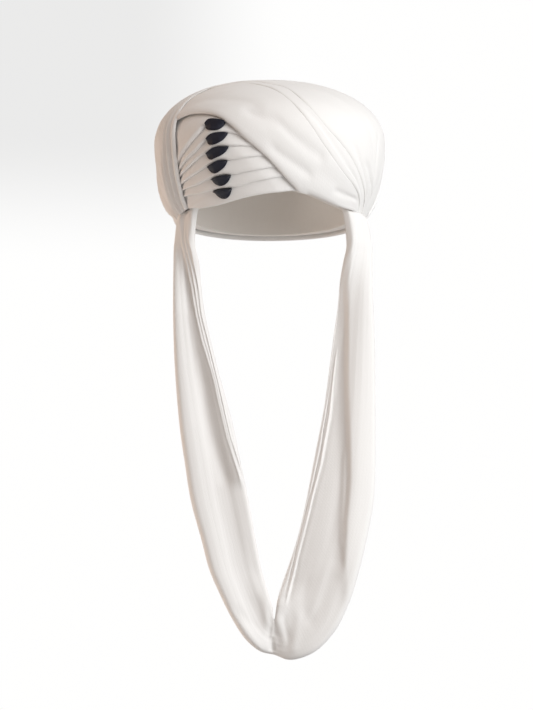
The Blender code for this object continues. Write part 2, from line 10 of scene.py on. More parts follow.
import bmesh
import bpy
import numpy as np
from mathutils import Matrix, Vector


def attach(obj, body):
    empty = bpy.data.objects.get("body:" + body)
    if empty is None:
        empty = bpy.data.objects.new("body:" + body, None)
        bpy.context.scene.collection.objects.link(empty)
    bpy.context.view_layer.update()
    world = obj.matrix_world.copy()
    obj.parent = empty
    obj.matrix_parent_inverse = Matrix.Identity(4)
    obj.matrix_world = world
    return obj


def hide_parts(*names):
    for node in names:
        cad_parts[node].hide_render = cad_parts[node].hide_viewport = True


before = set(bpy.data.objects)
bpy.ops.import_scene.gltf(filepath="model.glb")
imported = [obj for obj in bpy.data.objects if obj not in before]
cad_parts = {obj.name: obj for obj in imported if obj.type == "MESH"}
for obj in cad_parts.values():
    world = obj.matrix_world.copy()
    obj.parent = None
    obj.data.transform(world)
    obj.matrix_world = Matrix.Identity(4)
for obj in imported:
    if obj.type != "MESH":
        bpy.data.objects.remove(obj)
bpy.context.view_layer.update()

# Head hollow and the core of wound cloth round it
HEAD_WIDTH = 0.158
HEAD_LENGTH = 0.198
HOLLOW_TOP = 0.100
HOLLOW_WIDEST = 0.010
SIDE_PADDING = 0.031
END_PADDING = 0.026
TOP_PADDING = 0.025
BELLY_HEIGHT = 0.067
SQUARENESS = 2.1
RIM_WALL_SIDE = 0.012
RIM_WALL_FRONT = 0.0062
RIM_WALL_BACK = 0.0060
RIM_DROP_SIDE = 0.075
RIM_DROP_FRONT = 0.056
RIM_DROP_BACK = 0.086
GATHER_FORWARD = 0.025
GATHER_DROP = 0.008

# How far the crown's own surface lies below the core's, for clear room under the layers
CORE_SETTLE = 0.0016

# Cloth layers, as heights above the core
LAYER_GAP = 0.0006
LEAST_GAP = 0.0005
TUCK_TOP = 0.0024
BAND_SEAT = 0.0042
REST_GAP = 0.0002
PLEAT_LIP = 0.0066
CROSS_LIP = 0.0066
SECOND_LIP = 0.0057
WRAP_LIP = 0.0057
LEFT_LIP = 0.0066
SHOULDER_LIP = 0.0056
SHOULDER_BODY = 0.0050
BACK_LIP = 0.0060
BAND_BODY = 0.0050
LEFT_BODY = 0.0082
LEAST_WALL = 0.0010

# Tucks, hems and how far past a tuck the cloth stays lifted, in degrees
PLEAT_TUCK = 1.6
CROSS_TUCK = 3.0
LEFT_TUCK = 5.0
LEFT_SIDE_TUCK = 2.0
BAND_TUCK = 2.6
HEM = 1.2
PLEAT_HOLD = 0.3
PLEAT_LANDING = 1.0
BAND_HOLD = 0.4
BAND_LANDING = 1.6
LEFT_HOLD = 1.0
LEFT_LANDING = 5.0
LEFT_SIDE_HOLD = 2.4
LEFT_SIDE_LANDING = 2.2
BACK_HOLD = 5.6

# Lift over tucked cloth, greater at the right end, where more layers meet
CROSS_LIFT = -0.0004
LEFT_LIFT = 0.0033
LEFT_END_LIFT = 0.0034
BACK_LIFT = 0.0014
BACK_END_LIFT = 0.0027
RIGHT_END = 66.0
RIGHT_END_SPAN = 16.0

# Free edges: their rolls in degrees, the least thickness left at them as a share, and where the two faces
# meet, from 0 at the inner face to 1 at the outer
PLEAT_ROLL = 1.5
BAND_ROLL = 2.0
CROSS_ROLL = 3.0
RIM_ROLL = 1.4
EDGE_LEFT = 0.06
RIM_EDGE_LEFT = 0.3
RIM_POWER = 4
PLEAT_MEET = 0.05
BAND_MEET = 0.22
LEFT_MEET = 0.04

# Thickness away from the lips: reaches in degrees, and how full a pleat stays
PLEAT_FULLNESS = 1.2
LIP_REACH = 12.0
LEFT_LIP_REACH = 40.0
TAPER_FROM = -1.2
TAPER = 1.6
BACK_TAPER = 3.0

# Cloth pressed flat under a band, and gathered thin towards the temples, as shares of its thickness
PRESS_REACH = 9.0
CROSS_PRESS = 0.55
LEFT_PRESS = 0.72
CROSS_LEFT_PRESS = 0.90
GATHER_FROM = 62.0
GATHER_SPAN = 26.0
GATHER_THINNING = 0.35

# Where the cloth ends at the temples, in degrees of turn
SIDE_END = 88.5
CROWN_END = 89.0
LEAST_SPAN = 1.0

# Lines on the dome, one row for each knee: turn, rise
RIM_FRONT = ((-90, 22), (-67, 18.6), (-55, 13.4), (-39, 11.9), (-24, 13.2), (-12, 14.6), (0, 15.8),
             (11, 16.6), (16, 17), (25, 16.4), (37, 14.8), (55, 13.6), (74, 17.5), (90, 21))
RIM_BACK = ((-90, 182), (-60, 184), (0, 185.5), (60, 184), (90, 182))
CROSS_EDGE = ((-60, 86), (-50, 71), (-40, 61.4), (-33, 56.4), (-27, 51.5), (-21.5, 46.8), (-16, 41),
              (-10.5, 35.4), (-5, 31.2), (1.5, 26.3), (9.5, 20.6), (16, 16.8), (25, 10), (40, -2),
              (90, -57))
SECOND_EDGE = ((-60, 106), (-24, 82), (-7, 69.8), (4, 56.4), (9, 49.3), (14, 43.6), (20.5, 38.6),
               (27.5, 34.8), (34.5, 32.1), (43, 30.4), (51.5, 30), (60, 29.6), (67, 27.2), (76, 20),
               (90, 10))
RIGHT_EDGE = ((-60, 113), (-30, 98), (-12, 81), (-1, 69), (5.5, 63.4), (11, 54.9), (17, 47.4), (22, 43.6),
              (30, 41.1), (40, 39.4), (48, 38.2), (58.5, 37.6), (71, 38), (82, 36), (90, 33))
LEFT_EDGE = ((-90, -60), (-78, -25), (-69, 3), (-65.2, 17), (-63, 23.2), (-60.5, 29), (-55.8, 36.8),
             (-51.5, 43), (-45.6, 52), (-41, 60.5), (-37, 69), (-32.5, 76.5), (-23, 86.5), (-8, 96.5),
             (10, 106), (30, 118), (50, 132), (70, 148), (90, 164))
BACK_EDGE = ((-90, 166), (-60, 157), (-30, 152), (0, 150), (30, 152), (60, 157), (90, 166))

# Left wrap: turn of its front edge at the hem, rise at its far end, and the power by which both ends fade
LEFT_HEM_TURN = -65.2
LEFT_END_RISE = 160.0
HEM_FADE = 5

# Lower edges of the upper six pleats: their rise at each turn of PLEAT_KNEES
PLEAT_KNEES = (-70, -60, -45, -35, -29, -25, -20, -10, 0, 10)
PLEAT_EDGES = (
    (47.6, 45.4, 44.2, 44.2, 44.9, 46.2, 44.2, 39.3, 35.5, 31),
    (44.9, 42.9, 40.1, 39.3, 40.2, 40.9, 39.9, 36.0, 33.6, 30.5),
    (42, 40.3, 36.4, 35.8, 35.5, 35.9, 34.7, 32.9, 31.8, 30),
    (38.5, 35.8, 31.4, 30.4, 30.5, 30.7, 29.4, 29.0, 28.9, 28.2),
    (34.5, 31.5, 26.0, 25.0, 24.9, 24.6, 23.8, 24.0, 24.6, 25.2),
    (31.5, 26.6, 20.6, 19.5, 19.2, 18.8, 18.5, 19.6, 20.7, 21.7),
)

# Soft folds along lines on the dome: depth, half width in degrees, then turn and rise at each knee
CROSS_FOLDS = (
    (0.0016, 2.6, ((-9.9, 45.7), (-3.7, 42.8), (2.7, 40.6), (8.8, 37), (15.9, 33.9), (25.9, 31.6))),
    (0.0012, 2.0, ((-0.1, 32.2), (8.5, 28.2), (15.1, 25.8), (21.9, 23.8))),
    (0.0012, 2.0, ((39.7, 21), (50.5, 22), (63.2, 26))),
    (0.0010, 3.0, ((-38, 66), (-24, 60), (-12, 52), (-4, 47))),
)
SECOND_FOLDS = (
    (0.0005, 1.3, ((14, 47.4), (24, 40.6), (38, 35.6), (52, 33.6))),
    (0.0004, 1.2, ((40, 34.2), (55, 33.4), (68, 31.4), (80, 27))),
)
RIGHT_FOLDS_ON_DOME = (
    (0.0013, 1.8, ((39.3, 45), (48.2, 42.6), (59.5, 42), (75.9, 43))),
    (0.0015, 2.2, ((51.3, 47.4), (59.5, 50), (67.9, 55.6), (81.7, 76))),
    (0.0013, 2.4, ((50.5, 71.2), (57.5, 63.6), (66.7, 60.9))),
    (0.0008, 3.4, ((10, 78), (26, 70), (42, 64), (60, 55), (78, 44))),
    (0.0008, 4.5, ((0, 104), (30, 100), (58, 92), (80, 74))),
    (0.0007, 5.0, ((-10, 124), (20, 122), (50, 120), (78, 108))),
)
PLEAT_FOLDS = ((0.0011, 3.2, ((-52, 52), (-45, 50), (-38, 50), (-31, 51))),)
BACK_FOLDS = (
    (0.0008, 3.0, ((-80, 170), (-40, 163), (0, 160), (40, 163), (80, 170))),
    (0.0006, 2.6, ((-80, 176), (-40, 172), (0, 171), (40, 173), (80, 178))),
)
FOLD_FADE = 6.0

# Long folds of the left wrap: place behind its front edge (1 at the main valley), then height as a share of
# the depth
LEFT_RELIEF = ((0.0, 0.1), (0.12, 0.3), (0.28, -0.8), (0.42, 0.6), (0.58, -1.0), (0.78, 0.8), (1.0, -0.4),
               (1.22, 0.8), (1.45, -0.4), (1.75, 0.55), (2.1, -0.55), (2.6, 0.45), (3.2, -0.4), (4.0, 0.35),
               (5.0, -0.3), (6.2, 0.25), (7.5, -0.2), (9.0, 0.0))
LEFT_RELIEF_DEPTH = 0.0032
RELIEF_FADE = 30.0

# The main valley, one row for each knee: rise, degrees behind the front edge
LEFT_VALLEY = ((5, 13), (23, 15.4), (43, 20), (60, 17), (77, 12), (100, 14), (125, 20), (165, 24))

# The left wrap's shoulder, where it is thinner and flatter, in degrees of rise
SHOULDER_FROM = 50.0
SHOULDER_SPAN = 26.0
SHOULDER_TO = 112.0
SHOULDER_FLATNESS = 0.75

# Uneven ripples: height and seed of the random numbers, then how much their widths vary
PLEAT_RIPPLE, PLEAT_SEED = 0.00016, 20
BAND_RIPPLE = 0.00022
LEFT_RIPPLE, LEFT_SEED = 0.00018, 5
BACK_RIPPLE, BACK_SEED = 0.0002, 9
LOOP_RIPPLE, LOOP_SEED = 0.00008, 3
LOOP_RIPPLE_WIDTH = 30
RIPPLE_STRETCH = (0.4, 1.6)

# Scarf loop, in metres. Shares are of its own sizes, and values named rows count rows of its table
LOOP_HALF_WIDTH = 0.104
LOOP_DROP = 0.436
LOOP_FORWARD_TOP = 0.045
LOOP_FORWARD_BOTTOM = 0.100
LOOP_TWIST = 0.014
LOOP_UNTWIST_SHARE = 0.85
UNTWIST_DROP_SHARE = 0.25
FLAT_FROM_SHARE = 0.6
FLAT_OVER_SHARE = 0.3
LOOP_SEAT_GAP = 0.0004
TOP_BULGE = 0.0035
TOP_BULGE_ROWS = 1.6
FOLD_DEPTH = 0.0060
CREASE_DEPTH = 0.010
LOOP_END_SHARE = 0.55
LOOP_END_ROWS = 3.0
CREASE_SPAN_ROWS = 1.2
CREASE_FADE_SHARE = 0.8
CREASE_ROW = 14
CREASE_END_ROWS = 0.5
FOLD_BLEND = 6.0
LOOP_STEPS = 420
LOOP_COLUMNS = 130
LOOP_ROLL = 0.35
LOOP_WALL = 0.0016

# Loop, one row for each section: outer x, outer drop, inner x, inner drop (shares of half width and drop)
LOOP_ROWS = (
    (-0.800, 0.020, -0.680, 0.020),
    (-0.900, 0.075, -0.725, 0.075),
    (-0.920, 0.130, -0.680, 0.130),
    (-0.920, 0.230, -0.620, 0.230),
    (-0.900, 0.350, -0.500, 0.350),
    (-0.855, 0.475, -0.355, 0.475),
    (-0.800, 0.565, -0.275, 0.565),
    (-0.740, 0.650, -0.200, 0.650),
    (-0.640, 0.735, -0.135, 0.735),
    (-0.565, 0.800, -0.080, 0.800),
    (-0.465, 0.855, -0.020, 0.850),
    (-0.360, 0.905, 0.020, 0.882),
    (-0.240, 0.950, 0.028, 0.898),
    (-0.100, 0.980, 0.033, 0.907),
    (0.040, 0.990, 0.037, 0.911),
    (0.200, 1.000, 0.042, 0.908),
    (0.420, 0.980, 0.047, 0.900),
    (0.600, 0.935, 0.054, 0.887),
    (0.710, 0.885, 0.067, 0.868),
    (0.780, 0.840, 0.100, 0.840),
    (0.850, 0.780, 0.190, 0.780),
    (0.910, 0.720, 0.270, 0.720),
    (0.965, 0.650, 0.340, 0.650),
    (0.985, 0.560, 0.415, 0.560),
    (0.990, 0.440, 0.515, 0.440),
    (0.990, 0.340, 0.575, 0.340),
    (0.985, 0.265, 0.620, 0.265),
    (0.975, 0.200, 0.665, 0.200),
    (0.965, 0.120, 0.710, 0.120),
    (0.940, 0.075, 0.735, 0.075),
    (0.800, 0.020, 0.680, 0.020),
)

# Shape across each leg: share from the outer edge, front height, back height (shares of the fold depth)
LEFT_FOLDS = (
    (0.000, -0.50, -0.90),
    (0.040, 0.10, -1.25),
    (0.100, 0.48, -0.90),
    (0.200, 0.52, -0.60),
    (0.340, 0.22, -0.80),
    (0.480, -0.22, -1.35),
    (0.620, -0.38, -1.20),
    (0.760, -0.20, -0.90),
    (0.880, -0.10, -0.80),
    (0.960, -0.16, -0.80),
    (1.000, -0.50, -0.70),
)
RIGHT_FOLDS = (
    (0.000, -0.50, -0.90),
    (0.040, 0.05, -1.20),
    (0.100, 0.32, -0.90),
    (0.200, 0.42, -0.70),
    (0.340, 0.38, -0.80),
    (0.480, 0.20, -1.20),
    (0.620, 0.00, -1.30),
    (0.760, -0.10, -1.10),
    (0.880, -0.15, -0.90),
    (0.960, -0.25, -0.80),
    (1.000, -0.60, -0.70),
)

# Lines on the loop that carry more than one fold, as the camera sees them: mm across and up, on the plane
# through the origin
OUTER_TUCK_TOP = ((-82.5, 2), (-82.5, -6), (-84, -14), (-85, -25), (-85, -34), (-83, -46), (-81, -61),
                  (-78, -76), (-76, -91), (-73, -106))
OUTER_TUCK_LOW = ((-76, -91), (-73, -106), (-67.5, -130), (-63, -144), (-59, -157), (-55.5, -170),
                  (-52, -187), (-47.5, -206.5), (-42.5, -227), (-36, -247), (-30.5, -264), (-27, -279))
PANEL_EDGE = ((80, 2), (80, -13), (79.5, -28), (79.5, -50), (79.5, -73), (79.5, -98), (79.5, -124),
              (79, -152), (79, -180), (79.5, -205), (80.5, -228), (81, -248), (81, -268), (79.5, -288),
              (77.5, -308))

# Folds of the loop: height and width to the left and right of the line in mm, then the line
LOOP_CREASES = (
    # Left leg: outer pintuck, upper and lower part, and the hollow beside it
    (2.8, 4.5, 9, OUTER_TUCK_TOP),
    (1, 1.3, 1.3, OUTER_TUCK_TOP),
    (4, 9, 20, OUTER_TUCK_LOW),
    (1, 1.3, 1.3, OUTER_TUCK_LOW),
    (-1.8, 7, 7, ((-70, -150), (-67, -180), (-64.5, -205), (-59.4, -225), (-52, -248), (-46, -264),
      (-41, -276))),
    # Left leg: the two finer pintucks
    (0.8, 0.8, 0.8, ((-81, -16), (-82, -26), (-81.5, -36), (-79.5, -48), (-76.5, -63), (-74.5, -76),
      (-72.5, -91), (-70, -106), (-65, -128), (-60.5, -143), (-57, -157), (-53.5, -170), (-50, -187),
      (-45.5, -206.5), (-40.5, -227), (-34, -247))),
    (1.1, 0.9, 0.9, ((-79, -18), (-78.5, -31), (-77, -40), (-75, -52.5), (-72.5, -66), (-70.5, -78),
      (-69.5, -90), (-68, -102), (-65, -114.5), (-62, -126), (-59, -139), (-55.5, -153), (-52, -168),
      (-48, -185), (-43.5, -206), (-38.5, -227), (-32, -246), (-27, -262), (-23, -276))),
    # Left leg: the shallow valley below the pintucks
    (-0.7, 8, 7, ((-48, -256), (-42, -272), (-37.5, -288), (-34.5, -304), (-31.5, -320), (-27, -336),
      (-20.5, -354), (-13, -372))),
    # Right leg: edge of the outer panel, and the shade beside it
    (1.8, 3, 14, PANEL_EDGE + ((76.5, -372),)),
    (3.8, 8, 30, PANEL_EDGE + ((76.5, -328), (76, -345), (84, -425))),
    (-2.2, 13, 3, ((74.5, -13), (74, -28), (74, -50), (74, -73), (74, -98), (74, -124), (73.5, -152),
      (73.5, -180), (74, -205), (75, -228), (75.5, -248), (75.5, -268), (74, -288), (72, -308), (71, -328),
      (70.5, -345), (71.5, -364))),
    # Right leg: soft strip in the shade
    (1, 2, 2, ((75.5, -234), (74.5, -248), (74, -264), (73, -288), (72, -308), (71.5, -328), (72, -344))),
    # Right leg: pintucks
    (1.1, 0.9, 0.9, ((68.5, -130), (65.5, -152), (63, -173), (60, -201), (57, -218), (54, -233),
      (51, -252), (45.5, -273.5), (41, -293), (34.5, -320), (28.5, -342.5), (22.5, -365), (18, -381.5),
      (15, -395))),
    (-1.2, 0.8, 2.4, ((65.5, -173), (62.5, -200), (59.5, -217), (57, -232), (53.5, -249), (49, -266),
      (44, -282.5), (39, -303.5), (33, -326), (28.5, -344), (24.5, -363.5), (20.5, -381.5), (17, -395))),
    (-0.8, 0.7, 0.7, ((61, -173), (57, -200), (53.5, -220), (51.5, -235), (48.5, -248), (42.5, -275),
      (37.5, -293), (30.5, -320), (24, -347), (19.5, -365), (14, -385))),
    # Bottom: the right leg's fold passes over the left leg
    (1.8, 2.2, 11, ((11, -383), (7.5, -393), (5, -402.5), (4.5, -410), (3, -419), (1.5, -428), (1, -436))),
    (-3.2, 2.8, 2.8, ((1.5, -423), (1.5, -430), (2, -437), (2.5, -443))),
    (0.6, 4, 4, ((7.5, -400), (8.5, -410), (11, -420), (13.5, -429), (11.5, -438), (7.5, -445))),
    (-0.7, 3, 3.5, ((14, -398), (14.5, -412), (17.5, -425), (17.5, -438))),
    (1, 5, 5, ((28, -390), (27.5, -406), (26, -422), (23.5, -435), (21.5, -446))),
    (-0.7, 5, 6, ((64, -348), (60, -364), (55.5, -379), (51, -394), (44, -406), (36, -416))),
    (-0.5, 5, 6, ((40, -358), (36.5, -372), (34.5, -385), (35, -398), (39, -410), (43, -422))),
    # Bottom: left lobe
    (0.9, 4, 4, ((-34, -403), (-27, -414), (-19, -425), (-10, -436.5), (-4, -444))),
    (-0.8, 5, 5, ((-39, -390), (-32, -399), (-25, -406.5), (-17, -414), (-9, -424))),
    (1, 4, 4, ((-9, -376), (-4.5, -394), (-3.5, -412), (-5.5, -428))),
)

# Lines, in the same form, towards which the whole thickness of the cloth sinks
LOOP_LEANS = (
    (-6, 30, 22, ((76, -40), (71, -80), (64, -120), (57, -165), (50, -215), (42, -262), (33, -300),
      (24, -335), (14, -365), (9, -390))),
)
CREASE_FADE = 1.0
MM_PER_METRE = 1000

# Buttons, one row each: turn of the left tip, turn of the right tip, degrees of rise that it hangs down,
# degrees that it stands up over the lip, and how far its lowest point leans to the left
BUTTONS = (
    (-26.7, -18.5, 3.9, 0.2, 0.84),
    (-27.7, -18.1, 3.9, 0.1, 0.76),
    (-30.0, -18.9, 3.8, 0.1, 0.76),
    (-31.8, -21.0, 4.1, 0.2, 0.88),
    (-32.4, -21.2, 4.0, 0.3, 0.92),
    (-34.7, -23.1, 4.7, 0.2, 0.92),
)
BUTTON_BULGE = 0.0021
BUTTON_SEAT = 0.0005
BUTTON_EDGE = 0.0005
BUTTON_TIP = 0.05
BUTTON_FULLNESS = 0.70
BUTTON_SLANT = 0.7
BUTTON_BEND = 0.8

# Camera: place, focal length and sensor width in mm
CAMERA_PLACE = (-0.0035, -2.4, -0.143)
CAMERA_LENS = 121.69
CAMERA_SENSOR = 36.0

# Lights, one row each: name, place, where it points, size, power, colour
LIGHTS = (
    ("key", (1.42, -1.55, 0.45), (0.0, 0.0, 0.0), 1.3, 28.5, (1.0, 1.0, 0.995)),
    ("warm_side", (-1.9, 0.8, 0.1), (0.0, 0.0, -0.1), 1.2, 9.0, (1.0, 0.68, 0.47)),
    ("low_side", (-0.65, 0.12, -0.55), (-0.05, -0.1, -0.42), 0.4, 2.2, (1.0, 0.93, 0.88)),
)

# Soft light from all round: place from left (0) to right (1) and its colour, then strength below and above
WORLD_LEFT = (0.1, (0.33, 0.245, 0.19, 1.0))
WORLD_MIDDLE = (0.5, (0.52, 0.505, 0.496, 1.0))
WORLD_RIGHT = (0.9, (0.68, 0.68, 0.68, 1.0))
WORLD_BELOW = 0.72
WORLD_ABOVE = 1.26

# Backdrop: radius and height at each ring of the bowl, its sides and its colour, and the painted shade
# at its upper left, a grey which fades in between two places across and two heights
BOWL_RINGS = ((0.0, -0.62), (2.0, -0.62), (4.0, -0.62), (5.2, -0.6), (6.2, -0.4), (6.9, 0.1), (7.2, 0.9),
              (7.3, 2.0), (7.3, 4.0), (7.3, 7.0))
BOWL_SIDES = 96
BOWL_COLOUR = (1.0, 0.998, 0.994, 1.0)
PAINTED_SHADE_ACROSS = (0.1, -0.55)
PAINTED_SHADE_UP = (0.2, 0.75)
PAINTED_SHADE_DEPTH = 0.17

# Cloth colours, plain and in the threads' depths
IVORY = (0.876, 0.872, 0.867, 1.0)
IVORY_DEEP = (0.835, 0.822, 0.806, 1.0)
LINING = (0.860, 0.840, 0.810, 1.0)
LINING_DEEP = (0.800, 0.765, 0.720, 1.0)
BLACK = (0.0022, 0.0026, 0.007, 1.0)
BLACK_DEEP = (0.020, 0.022, 0.037, 1.0)

# Cloth surface: the wave texture's repeat at a scale of 1, then how often slubs, creases and clouds come in
# a metre, the slubs' height, and the tint that clouds and slubs give from least to most
WAVE_REPEAT = 0.31
SLUBS_LONG = 60.0
SLUBS_FINE = 1500.0
CREASES = (14.0, 70.0, 1.0)
CLOUDS = 9.0
SLUB_DEPTH = 0.00008
CLOUD_TINT = (0.0, 0.55)
SLUB_TINT = (-0.35, 0.45)
SHEEN_ROUGHNESS = 0.5
SPECULAR = 0.25

# Grids: steps in degrees, counts of rows and columns
TURN_STEP = 0.7
RISE_STEP = 0.8
TURN_SEARCH = 0.1
LEAST_STEPS = 6
ROLL_SHARE = 0.3
CROWN_COLUMNS = 200
CROWN_STEP = 2.2
LEFT_ROWS = 150
LEFT_STEP = 0.9
LEFT_HEM_SHARE = 0.012
BACK_COLUMNS = 240
BUTTON_COLUMNS = 57
BUTTON_ROWS = 45
EDGE_ANGLES = np.radians((0, 18, 36, 54, 72, 90))
HALVINGS = 26
RIM_PASSES = 6
NORMAL_STEP = 1e-5
TINY = 1e-9


def ease(x):
    x = np.clip(x, 0.0, 1.0)
    return x * x * (3.0 - 2.0 * x)


def smooth(knees, values, x):
    """A smooth curve through the knees, with the slope at each taken from its neighbours."""
    knees = np.asarray(knees, float)
    values = np.asarray(values, float)
    x = np.clip(x, knees[0], knees[-1])
    slopes = np.gradient(values, knees)
    i = np.clip(np.searchsorted(knees, x) - 1, 0, len(knees) - 2)
    step = knees[i + 1] - knees[i]
    s = (x - knees[i]) / step
    rise = values[i] * (1 + 2 * s) * (1 - s) ** 2 + values[i + 1] * s * s * (3 - 2 * s)
    return rise + step * (slopes[i] * s * (1 - s) ** 2 - slopes[i + 1] * s * s * (1 - s))


def line(table, turn):
    knees, values = zip(*table)
    return smooth(knees, values, turn)


def undercut(head_half, core_half, wall, drop):
    share = (head_half + wall) / core_half
    return drop / (1.0 - share**SQUARENESS) ** (1.0 / SQUARENESS)


CORE_HALF_WIDTH = HEAD_WIDTH / 2 + SIDE_PADDING
CORE_HALF_LENGTH = HEAD_LENGTH / 2 + END_PADDING
CORE_CAP = HOLLOW_TOP + TOP_PADDING - BELLY_HEIGHT
UNDERCUT_SIDE = undercut(HEAD_WIDTH / 2, CORE_HALF_WIDTH, RIM_WALL_SIDE, RIM_DROP_SIDE)
UNDERCUT_FRONT = undercut(HEAD_LENGTH / 2, CORE_HALF_LENGTH, RIM_WALL_FRONT, RIM_DROP_FRONT)
UNDERCUT_BACK = undercut(HEAD_LENGTH / 2, CORE_HALF_LENGTH, RIM_WALL_BACK, RIM_DROP_BACK)
GATHER = np.array([0.0, -GATHER_FORWARD, -GATHER_DROP])


def direction(turn, rise):
    turn, rise = np.broadcast_arrays(np.radians(turn), np.radians(rise))
    return np.stack([np.sin(turn), -np.cos(turn) * np.cos(rise), np.cos(turn) * np.sin(rise)], -1)


def core_field(point):
    """1 on the core's outer surface, less inside it."""
    x, y, z = point[..., 0], point[..., 1], point[..., 2] - BELLY_HEIGHT
    ahead = -y / (np.hypot(x, y) + TINY)
    ends = UNDERCUT_SIDE + (UNDERCUT_FRONT + UNDERCUT_BACK - 2 * UNDERCUT_SIDE) / 2 * ahead**2
    below = ends + (UNDERCUT_FRONT - UNDERCUT_BACK) / 2 * ahead
    depth = np.where(z > 0, CORE_CAP, below)
    round_plan = (np.abs(x) / CORE_HALF_WIDTH) ** SQUARENESS + (np.abs(y) / CORE_HALF_LENGTH) ** SQUARENESS
    return round_plan + (np.abs(z) / depth) ** SQUARENESS


def core_point(ray):
    near = np.zeros(ray.shape[:-1])
    far = near + 2 * CORE_HALF_LENGTH
    for _ in range(HALVINGS):
        middle = (near + far) / 2
        inside = core_field(GATHER + ray * middle[..., None]) < 1.0
        near = np.where(inside, middle, near)
        far = np.where(inside, far, middle)
    return GATHER + ray * far[..., None]


def core_normal(point):
    steps = NORMAL_STEP * np.eye(3)
    slope = [core_field(point + step) - core_field(point - step) for step in steps]
    slope = np.stack(slope, -1)
    return slope / np.linalg.norm(slope, axis=-1, keepdims=True)


def placed(turn, rise, *heights):
    """Points on the dome at each of the heights over the core."""
    point = core_point(direction(turn, rise))
    normal = core_normal(point)
    return [point + normal * np.asarray(height)[..., None] for height in heights]


def hollow_point(turn, rise):
    """Where a ray from the gather point meets the head hollow."""
    ray = direction(turn, rise)
    half = np.array([HEAD_WIDTH / 2, HEAD_LENGTH / 2, HOLLOW_TOP - HOLLOW_WIDEST])
    start = (GATHER - np.array([0.0, 0.0, HOLLOW_WIDEST])) / half
    along = ray / half
    a = (along * along).sum(-1)
    b = (along * start).sum(-1)
    c = (start * start).sum() - 1.0
    return GATHER + ray * ((-b + np.sqrt(b * b - a * c)) / a)[..., None]


def cover(turn, lines):
    left = line(LEFT_EDGE, turn + LEFT_SIDE_TUCK) + LEFT_TUCK
    return np.min([left] + [line(table, turn) + tuck for table, tuck in lines], axis=0)


def edge_above(turn, tables):
    return np.min([line(table, turn) for table in (LEFT_EDGE, *tables)], axis=0)


def press(turn, rise, table, amount):
    """A factor that falls to the amount where a piece passes under the band with this edge line."""
    return 1.0 - (1.0 - amount) * ease((rise - line(table, turn)) / PRESS_REACH + 1.0)


def gather(turn):
    return 1.0 - GATHER_THINNING * ease((np.abs(turn) - GATHER_FROM) / GATHER_SPAN)


def landed(away, hold, landing):
    """1 where cloth is held up by what is tucked under it, falling to 0 where it lies down."""
    return 1.0 - ease((away - hold) / landing)


def right_end(turn):
    return ease((turn - RIGHT_END) / RIGHT_END_SPAN)


def folds(turn, rise, table):
    """Depth of the soft folds that run along lines on the dome."""
    total = 0.0 * rise
    for depth, width, knees in table:
        first, last = knees[0][0], knees[-1][0]
        window = ease((turn - first) / FOLD_FADE + 0.5) * ease((last - turn) / FOLD_FADE + 0.5)
        away = (rise - line(knees, turn)) / width
        total = total + depth * window * np.exp(-(away**2))
    return total


def ripple(across, along, seed, size, waves=7, across_scale=1.0, along_scale=0.15):
    """Gentle uneven ripples that run mostly along the cloth."""
    random = np.random.default_rng(seed)
    total = 0.0 * (across + along)
    for _ in range(waves):
        stretch = random.uniform(*RIPPLE_STRETCH)
        phase = random.uniform(0.0, 2 * math.pi)
        drift = random.uniform(-1.0, 1.0)
        total = total + np.sin(across * across_scale * stretch + along * along_scale * drift + phase)
    return total * size / math.sqrt(waves)


def rolled(inner, outer, away, roll, meet=0.5):
    """Draws both faces together in a round fold at a free edge. They meet at a share between the two."""
    near = 1.0 - np.clip(away / roll, 0.0, 1.0)
    share = np.maximum(np.sqrt(1.0 - near**2), EDGE_LEFT)
    middle = inner + (outer - inner) * meet
    return middle - (middle - inner) * share, middle + (outer - middle) * share


def edge_steps(width, roll, step):
    """Distances from a free edge: close together round its roll, then even, up to the widest width."""
    count = max(LEAST_STEPS, int(math.ceil(width.max() / step)))
    roll = np.minimum(roll, width * ROLL_SHARE)[:, None]
    close = roll * (1.0 - np.cos(EDGE_ANGLES))[None, :]
    rest = np.linspace(0.0, 1.0, count + 1)[1:][None, :]
    return np.concatenate([close, roll + (width[:, None] - roll) * rest], axis=1)


def open_turns(low, high, step):
    """Even turns over the stretch where the cloth between the two lines shows."""
    fine = np.arange(-SIDE_END, SIDE_END + TURN_SEARCH / 2, TURN_SEARCH)
    found = fine[high(fine) - low(fine) > LEAST_SPAN]
    first, last = found.min(), found.max()
    return np.linspace(first, last, int(math.ceil((last - first) / step)) + 1)


def lengths(points, axis):
    """How far along the cloth each point is from the middle of its row or column."""
    steps = np.linalg.norm(np.diff(points, axis=axis), axis=-1)
    first = np.zeros_like(np.take(steps, [0], axis=axis))
    total = np.concatenate([first, np.cumsum(steps, axis=axis)], axis=axis)
    return total - np.take(total, [total.shape[axis] // 2], axis=axis)


def swap(grid):
    """Rows across the cloth, columns along it."""
    return np.swapaxes(grid, 0, 1)


def skin(rows, columns):
    """Faces of a closed piece: its outer and inner grids, and a strip round their border."""
    size = rows * columns
    index = np.arange(size).reshape(rows, columns)
    quads = []
    for side in (index, index + size):
        corners = np.stack([side[:-1, :-1], side[1:, :-1], side[1:, 1:], side[:-1, 1:]], -1)
        quads.append(corners.reshape(-1, 4))
    border = np.concatenate([index[0], index[1:, -1], index[-1, -2::-1], index[-2:0:-1, 0]])
    following = np.roll(border, -1)
    quads.append(np.stack([border, following, following + size, border + size], -1))
    return np.concatenate(quads).tolist()


def unwrap(mesh, outer):
    """A UV map that holds lengths along the cloth, the same on both faces."""
    flat = np.stack([lengths(outer, 1), lengths(outer, 0)], -1).reshape(-1, 2)
    flat = np.concatenate([flat, flat])
    corner = np.empty(len(mesh.loops), dtype=np.int32)
    mesh.loops.foreach_get("vertex_index", corner)
    mesh.uv_layers.new(name="cloth").data.foreach_set("uv", flat[corner].ravel())


